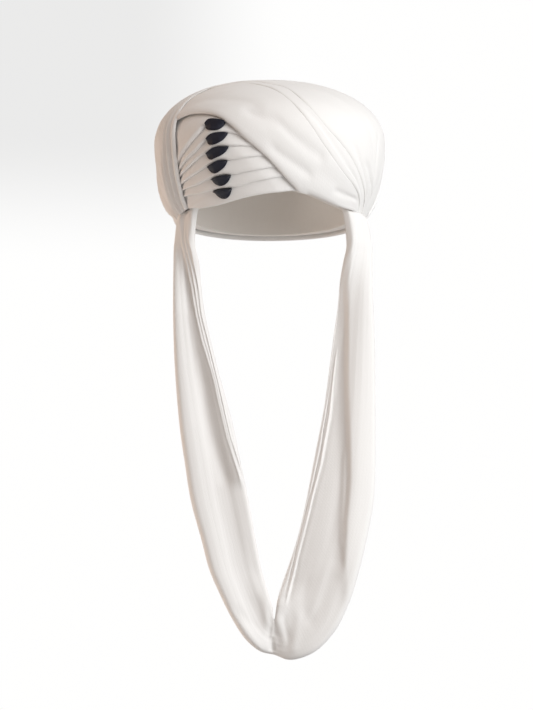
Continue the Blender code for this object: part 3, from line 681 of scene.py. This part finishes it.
def closed(name, inner, outer, finish):
    """One closed piece of cloth between two grids of points."""
    vertices = np.concatenate([outer.reshape(-1, 3), inner.reshape(-1, 3)])
    mesh = bpy.data.meshes.new(name)
    mesh.from_pydata(vertices.tolist(), [], skin(*outer.shape[:2]))
    work = bmesh.new()
    work.from_mesh(mesh)
    bmesh.ops.recalc_face_normals(work, faces=work.faces)
    work.to_mesh(mesh)
    work.free()
    unwrap(mesh, outer)
    mesh.shade_smooth()
    mesh.materials.append(finish)
    piece = bpy.data.objects.new(f"{name}_cloth", mesh)
    bpy.context.scene.collection.objects.link(piece)
    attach(piece, "root")
    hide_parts(name)
    return piece


def pleat_low(number, turn):
    if number == len(PLEAT_EDGES):
        return line(RIM_FRONT, turn) - HEM
    return smooth(PLEAT_KNEES, PLEAT_EDGES[number], turn)


def pleat_high(number, turn):
    covered = cover(turn, ((CROSS_EDGE, CROSS_TUCK),))
    if number == 0:
        return covered
    return np.minimum(covered, pleat_low(number - 1, turn) + PLEAT_TUCK)


def pleat_heights(number, turn, rise):
    """Inner and outer heights: high at the free lip, flat where it is tucked under the next one up."""
    away = rise - pleat_low(number, turn)
    upper = pleat_high(number, turn) - PLEAT_TUCK
    lifted = TUCK_TOP + REST_GAP - LAYER_GAP if number < len(PLEAT_EDGES) else 0.0
    inner = LAYER_GAP + lifted * landed(away, PLEAT_TUCK + PLEAT_HOLD, PLEAT_LANDING)
    slope = np.clip(away / np.maximum(upper - rise + away, LEAST_SPAN), 0.0, 1.0)
    outer = TUCK_TOP + (PLEAT_LIP - TUCK_TOP) * (1.0 - slope**PLEAT_FULLNESS)
    outer = outer + ripple(rise, turn, number + PLEAT_SEED, PLEAT_RIPPLE, across_scale=1.1, along_scale=0.25)
    outer = outer - folds(turn, rise, PLEAT_FOLDS if number == 0 else ())
    inner, outer = rolled(inner, np.maximum(outer, inner + LEAST_WALL), away, PLEAT_ROLL, PLEAT_MEET)
    flat = press(turn, rise, CROSS_EDGE, CROSS_PRESS) * press(turn, rise, LEFT_EDGE, LEFT_PRESS)
    return np.maximum(inner * flat, LEAST_GAP), outer * flat


def build_pleat(number, finish):
    def low(turn):
        return pleat_low(number, turn)

    def high(turn):
        return pleat_high(number, turn)

    turn = open_turns(low, high, TURN_STEP)
    away = edge_steps(high(turn) - low(turn), PLEAT_ROLL, RISE_STEP / 2)
    rise = low(turn)[:, None] + away
    turn = turn[:, None] + 0.0 * rise
    inner, outer = placed(turn, rise, *pleat_heights(number, turn, rise))
    return closed(f"pleat_{number + 1}", swap(inner), swap(outer), finish)


def band_low(edge, turn):
    return np.maximum(line(edge, turn), line(RIM_FRONT, turn) - HEM)


def build_band(name, edge, tuck, covers, lip, lift, roll, fold_table, finish):
    def low(turn):
        return band_low(edge, turn)

    def high(turn):
        return cover(turn, covers)

    turn = open_turns(low, high, TURN_STEP)
    away = edge_steps(high(turn) - low(turn), roll, RISE_STEP)
    rise = low(turn)[:, None] + away
    turn = turn[:, None] + 0.0 * rise
    left = edge_above(turn, [table for table, _ in covers]) - rise
    body = BAND_BODY + (lip - BAND_BODY) * (1.0 - ease(away / LIP_REACH))
    body = body - folds(turn, rise, fold_table)
    body = body + ripple(rise, turn, len(name), BAND_RIPPLE, across_scale=0.35)
    outer = BAND_SEAT + (body - BAND_SEAT) * ease((left - TAPER_FROM) / TAPER)
    inner = LAYER_GAP + lift * landed(rise - line(edge, turn), tuck + BAND_HOLD, BAND_LANDING)
    inner, outer = rolled(inner, np.maximum(outer, inner + LEAST_WALL), away, roll, BAND_MEET)
    flat = gather(turn)
    if edge is CROSS_EDGE:
        flat = flat * press(turn, rise, LEFT_EDGE, CROSS_LEFT_PRESS)
    inner, outer = placed(turn, rise, inner * flat, outer * flat)
    return closed(name, swap(inner), swap(outer), finish)


def build_crown(finish):
    turn = np.linspace(-CROWN_END, CROWN_END, CROWN_COLUMNS)
    low, high = line(RIM_FRONT, turn), line(RIM_BACK, turn)
    half = edge_steps((high - low) / 2, RIM_ROLL, CROWN_STEP)
    rise = np.concatenate([low[:, None] + half, (high[:, None] - half)[:, -2::-1]], axis=1)
    turn = turn[:, None] + 0.0 * rise
    (outer,) = placed(turn, rise, 0.0 * rise - CORE_SETTLE)
    inner = hollow_point(turn, rise)
    near = 1.0 - np.clip(np.minimum(rise - low[:, None], high[:, None] - rise) / RIM_ROLL, 0.0, 1.0)
    share = np.maximum((1.0 - near**RIM_POWER) ** (1.0 / RIM_POWER), RIM_EDGE_LEFT)[..., None]
    middle, thick = (inner + outer) / 2, (outer - inner) / 2
    return closed("crown", swap(middle - thick * share), swap(middle + thick * share), finish)


def left_turn(rise):
    knees, rises = zip(*LEFT_EDGE)
    return smooth(rises, knees, rise)


def left_heights(turn, rise, behind):
    """Heights of the left wrap, with long folds that run with its front edge."""
    above = landed(rise - line(LEFT_EDGE, turn), LEFT_TUCK + LEFT_HOLD, LEFT_LANDING)
    beside = landed(behind, LEFT_SIDE_HOLD, LEFT_SIDE_LANDING)
    lift = LEFT_LIFT + (LEFT_END_LIFT - LEFT_LIFT) * right_end(turn)
    inner = 2 * LAYER_GAP + lift * np.maximum(above, beside)
    left = line(BACK_EDGE, turn) - rise
    shoulder = ease((rise - SHOULDER_FROM) / SHOULDER_SPAN)
    shoulder = shoulder * (1.0 - ease((rise - SHOULDER_TO) / SHOULDER_SPAN))
    lip = LEFT_LIP + (SHOULDER_LIP - LEFT_LIP) * shoulder
    body = LEFT_BODY + (SHOULDER_BODY - LEFT_BODY) * shoulder
    body = body + (lip - body) * (1.0 - ease(behind / LEFT_LIP_REACH))
    places, relief = zip(*LEFT_RELIEF)
    relief = smooth(places, relief, behind / line(LEFT_VALLEY, rise)) * LEFT_RELIEF_DEPTH
    relief = relief * (1.0 - SHOULDER_FLATNESS * shoulder)
    body = body + relief * ease(left / RELIEF_FADE)
    body = body + ripple(behind, rise, LEFT_SEED, LEFT_RIPPLE, across_scale=0.8, along_scale=0.08)
    outer = BAND_SEAT + (body - BAND_SEAT) * ease(left / BACK_TAPER)
    return inner, np.maximum(outer, inner + LEAST_WALL)


def build_left_wrap(finish):
    start, end = line(RIM_FRONT, LEFT_HEM_TURN) - HEM, LEFT_END_RISE
    near = (1.0 - np.cos(EDGE_ANGLES)) * LEFT_HEM_SHARE
    row = np.concatenate([near, np.linspace(LEFT_HEM_SHARE, 1.0, LEFT_ROWS)[1:]])[:, None]
    nominal = start + (end - start) * row
    front = left_turn(nominal)
    width = (front + SIDE_END)[:, 0]
    behind = edge_steps(width, BAND_ROLL, LEFT_STEP)
    turn = front - behind
    hem = line(RIM_FRONT, turn) - HEM - start
    top = line(BACK_EDGE, turn) + BAND_TUCK - end
    rise = nominal + hem * (1 - row) ** HEM_FADE + top * row**HEM_FADE
    inner, outer = left_heights(turn, rise, behind)
    edge = np.minimum(behind, rise - line(RIM_FRONT, turn) + HEM)
    inner, outer = rolled(inner, outer, edge, BAND_ROLL, LEFT_MEET)
    flat = gather(turn)
    inner, outer = placed(turn, rise, inner * flat, outer * flat)
    return closed("left_wrap", swap(inner), swap(outer), finish)


def build_back_wrap(finish):
    turn = np.linspace(-SIDE_END, SIDE_END, BACK_COLUMNS)
    low, high = line(BACK_EDGE, turn), line(RIM_BACK, turn) + HEM
    half = edge_steps((high - low) / 2, BAND_ROLL, RISE_STEP)
    rise = np.concatenate([low[:, None] + half, (high[:, None] - half)[:, -2::-1]], axis=1)
    turn = turn[:, None] + 0.0 * rise
    away = rise - low[:, None]
    left = high[:, None] - rise
    lift = BACK_LIFT + (BACK_END_LIFT - BACK_LIFT) * right_end(turn)
    inner = LAYER_GAP + (TUCK_TOP + lift) * landed(away, BACK_HOLD, BAND_LANDING)
    lip = BACK_LIP + lift - BACK_LIFT
    body = BAND_BODY + (lip - BAND_BODY) * (1.0 - ease(away / LIP_REACH)) - folds(turn, rise, BACK_FOLDS)
    body = body + ripple(rise, turn, BACK_SEED, BACK_RIPPLE, across_scale=0.4)
    body = np.maximum(body, inner + LEAST_WALL)
    inner, outer = rolled(inner, body, np.minimum(away, left), BAND_ROLL, BAND_MEET)
    flat = gather(turn)
    inner, outer = placed(turn, rise, inner * flat, outer * flat)
    return closed("back_wrap", swap(inner), swap(outer), finish)


def build_button(number, finish):
    """A domed petal, pointed at both ends, whose upper edge folds over the lip that it is sewn to."""
    left, right, drop, crown, lean = BUTTONS[number]
    turn = np.linspace(left, right, BUTTON_COLUMNS)
    share = (turn - left) / (right - left)
    hump = (4 * share * (1 - share))[:, None]
    sag = drop * (4 * share**lean * (1 - share**lean)) ** BUTTON_FULLNESS
    down = np.sin(np.linspace(-math.pi / 2, math.pi / 2, BUTTON_ROWS))[None, :]
    lip = pleat_low(number, turn)[:, None]
    rise = np.where(down < 0, lip - crown * np.sqrt(hump) * down, lip - (sag[:, None] + BUTTON_TIP) * down)
    slant = BUTTON_SLANT * (1.0 - share[:, None]) * ease(down / BUTTON_BEND)
    turn = turn[:, None] - slant
    over = PLEAT_LIP + REST_GAP
    under = pleat_heights(number + 1, turn, rise)[1] + BUTTON_SEAT
    level = over + (under - over) * ease(down / BUTTON_BEND)
    bulge = BUTTON_BULGE * np.sqrt(np.maximum(hump * (1 - down**2), 0.0)) + BUTTON_EDGE
    base = np.where(down < 0, over, np.minimum(under, level))
    inner, outer = placed(turn, rise, base, level + bulge)
    return closed(f"button_{number + 1}", swap(inner), swap(outer), finish)


def rim_face(x, y):
    """Height of the crown's underside in front of the temples."""
    y = y + GATHER_FORWARD
    z = 0.0 * x
    for _ in range(RIM_PASSES):
        turn = np.degrees(np.arctan2(x, np.hypot(y, z)))
        z = -y * np.tan(np.radians(line(RIM_FRONT, turn)))
    return z - GATHER_DROP


def loop_forward(drop):
    return LOOP_FORWARD_TOP + (LOOP_FORWARD_BOTTOM - LOOP_FORWARD_TOP) * ease(drop)


def along_table(table, column, places):
    return smooth(np.arange(len(table)), np.array(table)[:, column], places)


def loop_edges(row):
    """Outer and inner edge points of the loop at each place along its rows."""
    outer_x, outer_drop, inner_x, inner_drop = (along_table(LOOP_ROWS, c, row) for c in range(4))
    edges = []
    for x, drop, side in ((outer_x, outer_drop, 1.0), (inner_x, inner_drop, -1.0)):
        twist = side * LOOP_TWIST * (1.0 - LOOP_UNTWIST_SHARE * ease(drop / UNTWIST_DROP_SHARE))
        y = -loop_forward(drop) + twist * (1.0 - ease((drop - FLAT_FROM_SHARE) / FLAT_OVER_SHARE))
        edges.append(np.stack([x * LOOP_HALF_WIDTH, y, -drop * LOOP_DROP], -1))
    return edges


def seen(points):
    """Where the camera sees each point: mm across and up, on the plane through the origin."""
    eye = np.array(CAMERA_PLACE)
    shrink = -eye[1] / (points[..., 1] - eye[1])
    return [MM_PER_METRE * (eye[k] + (points[..., k] - eye[k]) * shrink) for k in (0, 2)]


def line_distance(across, up, knees):
    """Distance from a line, less than 0 on its left, and how far along the line, counted in knees."""
    shortest = np.full(across.shape, np.inf)
    place = np.zeros(across.shape)
    side = np.ones(across.shape)
    for i, ((x, y), (next_x, next_y)) in enumerate(zip(knees[:-1], knees[1:])):
        dx, dy = next_x - x, next_y - y
        t = np.clip(((across - x) * dx + (up - y) * dy) / (dx * dx + dy * dy), 0.0, 1.0)
        distance = np.hypot(across - x - t * dx, up - y - t * dy)
        nearer = distance < shortest
        shortest = np.where(nearer, distance, shortest)
        place = np.where(nearer, i + t, place)
        side = np.where(nearer, np.sign(dx * (up - y) - dy * (across - x)), side)
    return shortest * side, place


def creased(points, table):
    """Height of the folds along lines in the front view, each with its own width on either side."""
    across, up = seen(points)
    total = 0.0 * across
    for height, left, right, knees in table:
        distance, place = line_distance(across, up, knees)
        window = ease(place / CREASE_FADE) * ease((len(knees) - 1 - place) / CREASE_FADE)
        width = np.where(distance < 0, left, right)
        total = total + height / MM_PER_METRE * window * np.exp(-((distance / width) ** 2))
    return total


def loop_sections(row, place):
    """Share across, front and back of each section: the left leg's folds turn into the right leg's."""
    blend = ease((row - CREASE_ROW) / FOLD_BLEND + 0.5)
    return [
        along_table(LEFT_FOLDS, c, place) * (1 - blend) + along_table(RIGHT_FOLDS, c, place) * blend
        for c in range(3)
    ]


def loop_heights(flat, row, ends, sections):
    """Heights of the folded cloth's back and front over the flat sheet between the loop's edges."""
    across, front, back = sections
    depth = FOLD_DEPTH * (LOOP_END_SHARE + (1.0 - LOOP_END_SHARE) * ease(ends / LOOP_END_ROWS))
    crease = CREASE_DEPTH * np.exp(-(((row - CREASE_ROW) / CREASE_SPAN_ROWS) ** 2))
    crease = crease * (1.0 - CREASE_FADE_SHARE * across)
    lean = creased(flat, LOOP_LEANS)
    back = back * depth - crease + lean
    front = front * depth - crease + lean + creased(flat, LOOP_CREASES) * ease(ends / CREASE_END_ROWS)
    front = front + ripple(across * LOOP_RIPPLE_WIDTH, row, LOOP_SEED, LOOP_RIPPLE, along_scale=0.5)
    front = front + TOP_BULGE * (1.0 - ease(ends / TOP_BULGE_ROWS))
    return back, np.maximum(front, back + LOOP_WALL)


def seated(points, ends):
    """The same points, with the loop's ends brought up against the crown's underside."""
    seat = rim_face(points[..., 0], points[..., 1]) - LOOP_SEAT_GAP
    points[..., 2] += (seat - points[..., 2]) * (1.0 - ease(ends))
    return points


def build_tail_loop(finish):
    last = len(LOOP_ROWS) - 1
    row = np.linspace(0.0, last, LOOP_STEPS)
    outer, inner = loop_edges(row)
    forward = -np.cross(inner - outer, np.gradient((outer + inner) / 2, axis=0))
    forward /= np.linalg.norm(forward, axis=-1, keepdims=True)
    row = row[:, None]
    ends = np.minimum(row, last - row)
    end_place = len(LEFT_FOLDS) - 1
    place = end_place / 2 * (1.0 - np.cos(np.linspace(0.0, math.pi, LOOP_COLUMNS)))
    sections = loop_sections(row, place)
    flat = outer[:, None, :] + (inner - outer)[:, None, :] * sections[0][..., None]
    back, front = loop_heights(flat, row, ends, sections)
    edge = np.minimum(place, end_place - place)[None, :]
    heights = rolled(back, front, edge + 0.0 * front, LOOP_ROLL)
    back, front = (seated(flat + forward[:, None, :] * height[..., None], ends) for height in heights)
    return closed("tail_loop", swap(back), swap(front), finish)


class Nodes:
    """A node tree that is being put together."""

    def __init__(self, tree):
        self.tree = tree

    def add(self, kind, inputs=None, **settings):
        made = self.tree.nodes.new(kind)
        for key, value in settings.items():
            setattr(made, key, value)
        for key, value in (inputs or {}).items():
            if isinstance(value, bpy.types.NodeSocket):
                self.tree.links.new(value, made.inputs[key])
            else:
                made.inputs[key].default_value = value
        return made

    def noise(self, vector, scale, detail, stretch=(1.0, 1.0, 1.0)):
        moved = self.add("ShaderNodeMapping", {"Vector": vector, "Scale": stretch})
        settings = {"Vector": moved.outputs[0], "Scale": scale, "Detail": detail}
        return self.add("ShaderNodeTexNoise", settings).outputs[0]

    def math(self, operation, a, b):
        return self.add("ShaderNodeMath", {0: a, 1: b}, operation=operation).outputs[0]

    def wave(self, vector, direction, scale):
        settings = {"Vector": vector, "Scale": scale, "Distortion": 0.6, "Detail": 1.0, "Detail Scale": 0.4}
        return self.add("ShaderNodeTexWave", settings, bands_direction=direction).outputs[1]

    def range(self, value, low, high, first=0.0, last=1.0, kind="LINEAR"):
        """Carries values from first to last over to low to high."""
        settings = {0: value, 1: first, 2: last, 3: low, 4: high}
        return self.add("ShaderNodeMapRange", settings, interpolation_type=kind).outputs[0]

    def bump(self, height, distance, strength, normal=None):
        inputs = {"Height": height, "Distance": distance, "Strength": strength}
        if normal is not None:
            inputs["Normal"] = normal
        return self.add("ShaderNodeBump", inputs).outputs[0]


def new_material(name):
    made = bpy.data.materials.new(name)
    made.use_nodes = True
    return made, Nodes(made.node_tree), made.node_tree.nodes["Principled BSDF"]


def weave_pattern(nodes, flat, thread):
    """Raised threads both ways. The thread is a sixth of the length after which the weave repeats."""
    pitch = 1.0 / (2 * math.pi * thread) * WAVE_REPEAT
    warp = nodes.wave(flat, "X", pitch)
    weft = nodes.wave(flat, "Y", pitch)
    return nodes.math("MAXIMUM", warp, weft)


def slub_pattern(nodes, flat):
    """Thick and thin stretches of thread, both ways."""
    along = nodes.noise(flat, scale=1.0, detail=3.0, stretch=(SLUBS_LONG, SLUBS_FINE, 1.0))
    across = nodes.noise(flat, scale=1.0, detail=3.0, stretch=(SLUBS_FINE, SLUBS_LONG, 1.0))
    return nodes.math("ADD", along, across)


def cloth_material(name, colour, deep, thread=0.0005, wrinkle=0.00025, sheen=0.3, rough=(0.82, 0.95),
                   weave_depth=0.00003):
    """Matt cloth: a plain weave with thick and thin threads, soft wrinkles and a slightly uneven tint."""
    made, nodes, shader = new_material(name)
    flat = nodes.add("ShaderNodeTexCoord").outputs["UV"]
    solid = nodes.add("ShaderNodeTexCoord").outputs["Object"]
    weave = weave_pattern(nodes, flat, thread)
    slub = slub_pattern(nodes, flat)
    creases = nodes.noise(flat, scale=1.0, detail=4.0, stretch=CREASES)
    cloud = nodes.noise(solid, scale=CLOUDS, detail=3.0)
    tint = nodes.math("ADD", nodes.range(cloud, *CLOUD_TINT), nodes.range(slub, *SLUB_TINT))
    mixed = nodes.add("ShaderNodeMix", {0: tint, 6: colour, 7: deep}, data_type="RGBA")
    normal = nodes.bump(creases, wrinkle, 1.0)
    normal = nodes.bump(slub, SLUB_DEPTH, 1.0, normal)
    normal = nodes.bump(weave, weave_depth, 1.0, normal)
    nodes.tree.links.new(mixed.outputs[2], shader.inputs["Base Color"])
    nodes.tree.links.new(nodes.range(slub, *rough), shader.inputs["Roughness"])
    nodes.tree.links.new(normal, shader.inputs["Normal"])
    shader.inputs["Sheen Weight"].default_value = sheen
    shader.inputs["Sheen Roughness"].default_value = SHEEN_ROUGHNESS
    shader.inputs["Specular IOR Level"].default_value = SPECULAR
    return made


def build_world():
    """Soft light from all round: bright from the right and above, dim and warm from the left."""
    world = bpy.data.worlds.new("studio")
    world.use_nodes = True
    nodes = Nodes(world.node_tree)
    back = world.node_tree.nodes["Background"]
    where = nodes.add("ShaderNodeSeparateXYZ", {0: nodes.add("ShaderNodeTexCoord").outputs["Generated"]})
    side = nodes.range(where.outputs[0], 0.0, 1.0, first=-1.0)
    ramp = nodes.add("ShaderNodeValToRGB", {0: side})
    stops = ramp.color_ramp.elements
    stops[0].position, stops[0].color = WORLD_LEFT
    stops[1].position, stops[1].color = WORLD_RIGHT
    place, colour = WORLD_MIDDLE
    stops.new(place).color = colour
    strength = nodes.range(where.outputs[2], WORLD_BELOW, WORLD_ABOVE, first=-1.0)
    world.node_tree.links.new(ramp.outputs[0], back.inputs[0])
    world.node_tree.links.new(strength, back.inputs[1])
    bpy.context.scene.world = world


def area_light(name, place, target, size, power, colour):
    light = bpy.data.lights.new(name, "AREA")
    light.shape = "DISK"
    light.size = size
    light.energy = power
    light.color = colour
    made = bpy.data.objects.new(name, light)
    made.location = place
    made.rotation_euler = (Vector(target) - Vector(place)).to_track_quat("-Z", "Y").to_euler()
    bpy.context.scene.collection.objects.link(made)


def bowl_mesh():
    """A flat floor under the turban that curves up into a wall all round."""
    turns = np.linspace(0.0, 2 * math.pi, BOWL_SIDES + 1)[:-1]
    vertices = [(r * math.cos(a), r * math.sin(a), z) for r, z in BOWL_RINGS for a in turns]
    faces = []
    for start in range(0, (len(BOWL_RINGS) - 1) * BOWL_SIDES, BOWL_SIDES):
        for i in range(BOWL_SIDES):
            j = (i + 1) % BOWL_SIDES
            faces.append((start + i, start + j, start + BOWL_SIDES + j, start + BOWL_SIDES + i))
    mesh = bpy.data.meshes.new("backdrop")
    mesh.from_pydata(vertices, [], faces)
    mesh.shade_smooth()
    return mesh


def backdrop_material():
    """White that glows evenly, with a soft grey of painted shade at the upper left."""
    made, nodes, shader = new_material("backdrop")
    where = nodes.add("ShaderNodeSeparateXYZ", {0: nodes.add("ShaderNodeTexCoord").outputs["Object"]})
    # Painted shade: the glow dims to grey towards the upper left
    side = nodes.range(where.outputs[0], 0.0, 1.0, *PAINTED_SHADE_ACROSS, "SMOOTHSTEP")
    high = nodes.range(where.outputs[2], 0.0, PAINTED_SHADE_DEPTH, *PAINTED_SHADE_UP, "SMOOTHSTEP")
    bright = nodes.math("SUBTRACT", 1.0, nodes.math("MULTIPLY", side, high))
    glow = nodes.add("ShaderNodeEmission", {"Strength": bright, "Color": BOWL_COLOUR})
    made.node_tree.links.new(glow.outputs[0], made.node_tree.nodes["Material Output"].inputs[0])
    made.node_tree.nodes.remove(shader)
    return made


def build_backdrop():
    mesh = bowl_mesh()
    mesh.materials.append(backdrop_material())
    backdrop = bpy.data.objects.new("backdrop", mesh)
    backdrop.visible_diffuse = False
    backdrop.visible_glossy = False
    backdrop.visible_shadow = False
    bpy.context.scene.collection.objects.link(backdrop)


def build_camera():
    data = bpy.data.cameras.new("camera")
    data.lens = CAMERA_LENS
    data.sensor_width = CAMERA_SENSOR
    camera = bpy.data.objects.new("camera", data)
    camera.location = CAMERA_PLACE
    camera.rotation_euler = (math.radians(90), 0.0, 0.0)
    bpy.context.scene.collection.objects.link(camera)
    bpy.context.scene.camera = camera


def build():
    ivory = cloth_material("ivory_cloth", IVORY, IVORY_DEEP)
    pleated = cloth_material("pleat_cloth", IVORY, IVORY_DEEP, wrinkle=0.0003)
    scarf = cloth_material("scarf_cloth", IVORY, IVORY_DEEP, wrinkle=0.0002)
    lining = cloth_material("lining_cloth", LINING, LINING_DEEP, thread=0.0009)
    black = cloth_material("button_cloth", BLACK, BLACK_DEEP, thread=0.0011, wrinkle=0.0005, sheen=0.04,
                           rough=(0.36, 0.55), weave_depth=0.00022)
    crown = build_crown(lining)
    for number in range(len(PLEAT_EDGES) + 1):
        pleat = build_pleat(number, pleated)
    over_pleats = PLEAT_LIP * CROSS_PRESS + CROSS_LIFT
    over_tuck = BAND_SEAT + REST_GAP - LAYER_GAP
    cross = build_band("cross_band", CROSS_EDGE, CROSS_TUCK, ((SECOND_EDGE, BAND_TUCK),), CROSS_LIP,
                       over_pleats, CROSS_ROLL, CROSS_FOLDS, ivory)
    second = build_band("second_band", SECOND_EDGE, BAND_TUCK, ((RIGHT_EDGE, BAND_TUCK),), SECOND_LIP,
                        over_tuck, BAND_ROLL, SECOND_FOLDS, ivory)
    right = build_band("right_wrap", RIGHT_EDGE, BAND_TUCK, ((BACK_EDGE, BAND_TUCK),), WRAP_LIP,
                       over_tuck, BAND_ROLL, RIGHT_FOLDS_ON_DOME, ivory)
    left = build_left_wrap(ivory)
    back = build_back_wrap(ivory)
    loop = build_tail_loop(scarf)
    for number in range(len(BUTTONS)):
        build_button(number, black)


bpy.context.scene.view_settings.view_transform = "Standard"
build_camera()
build_world()
for light in LIGHTS:
    area_light(*light)
build_backdrop()
build()
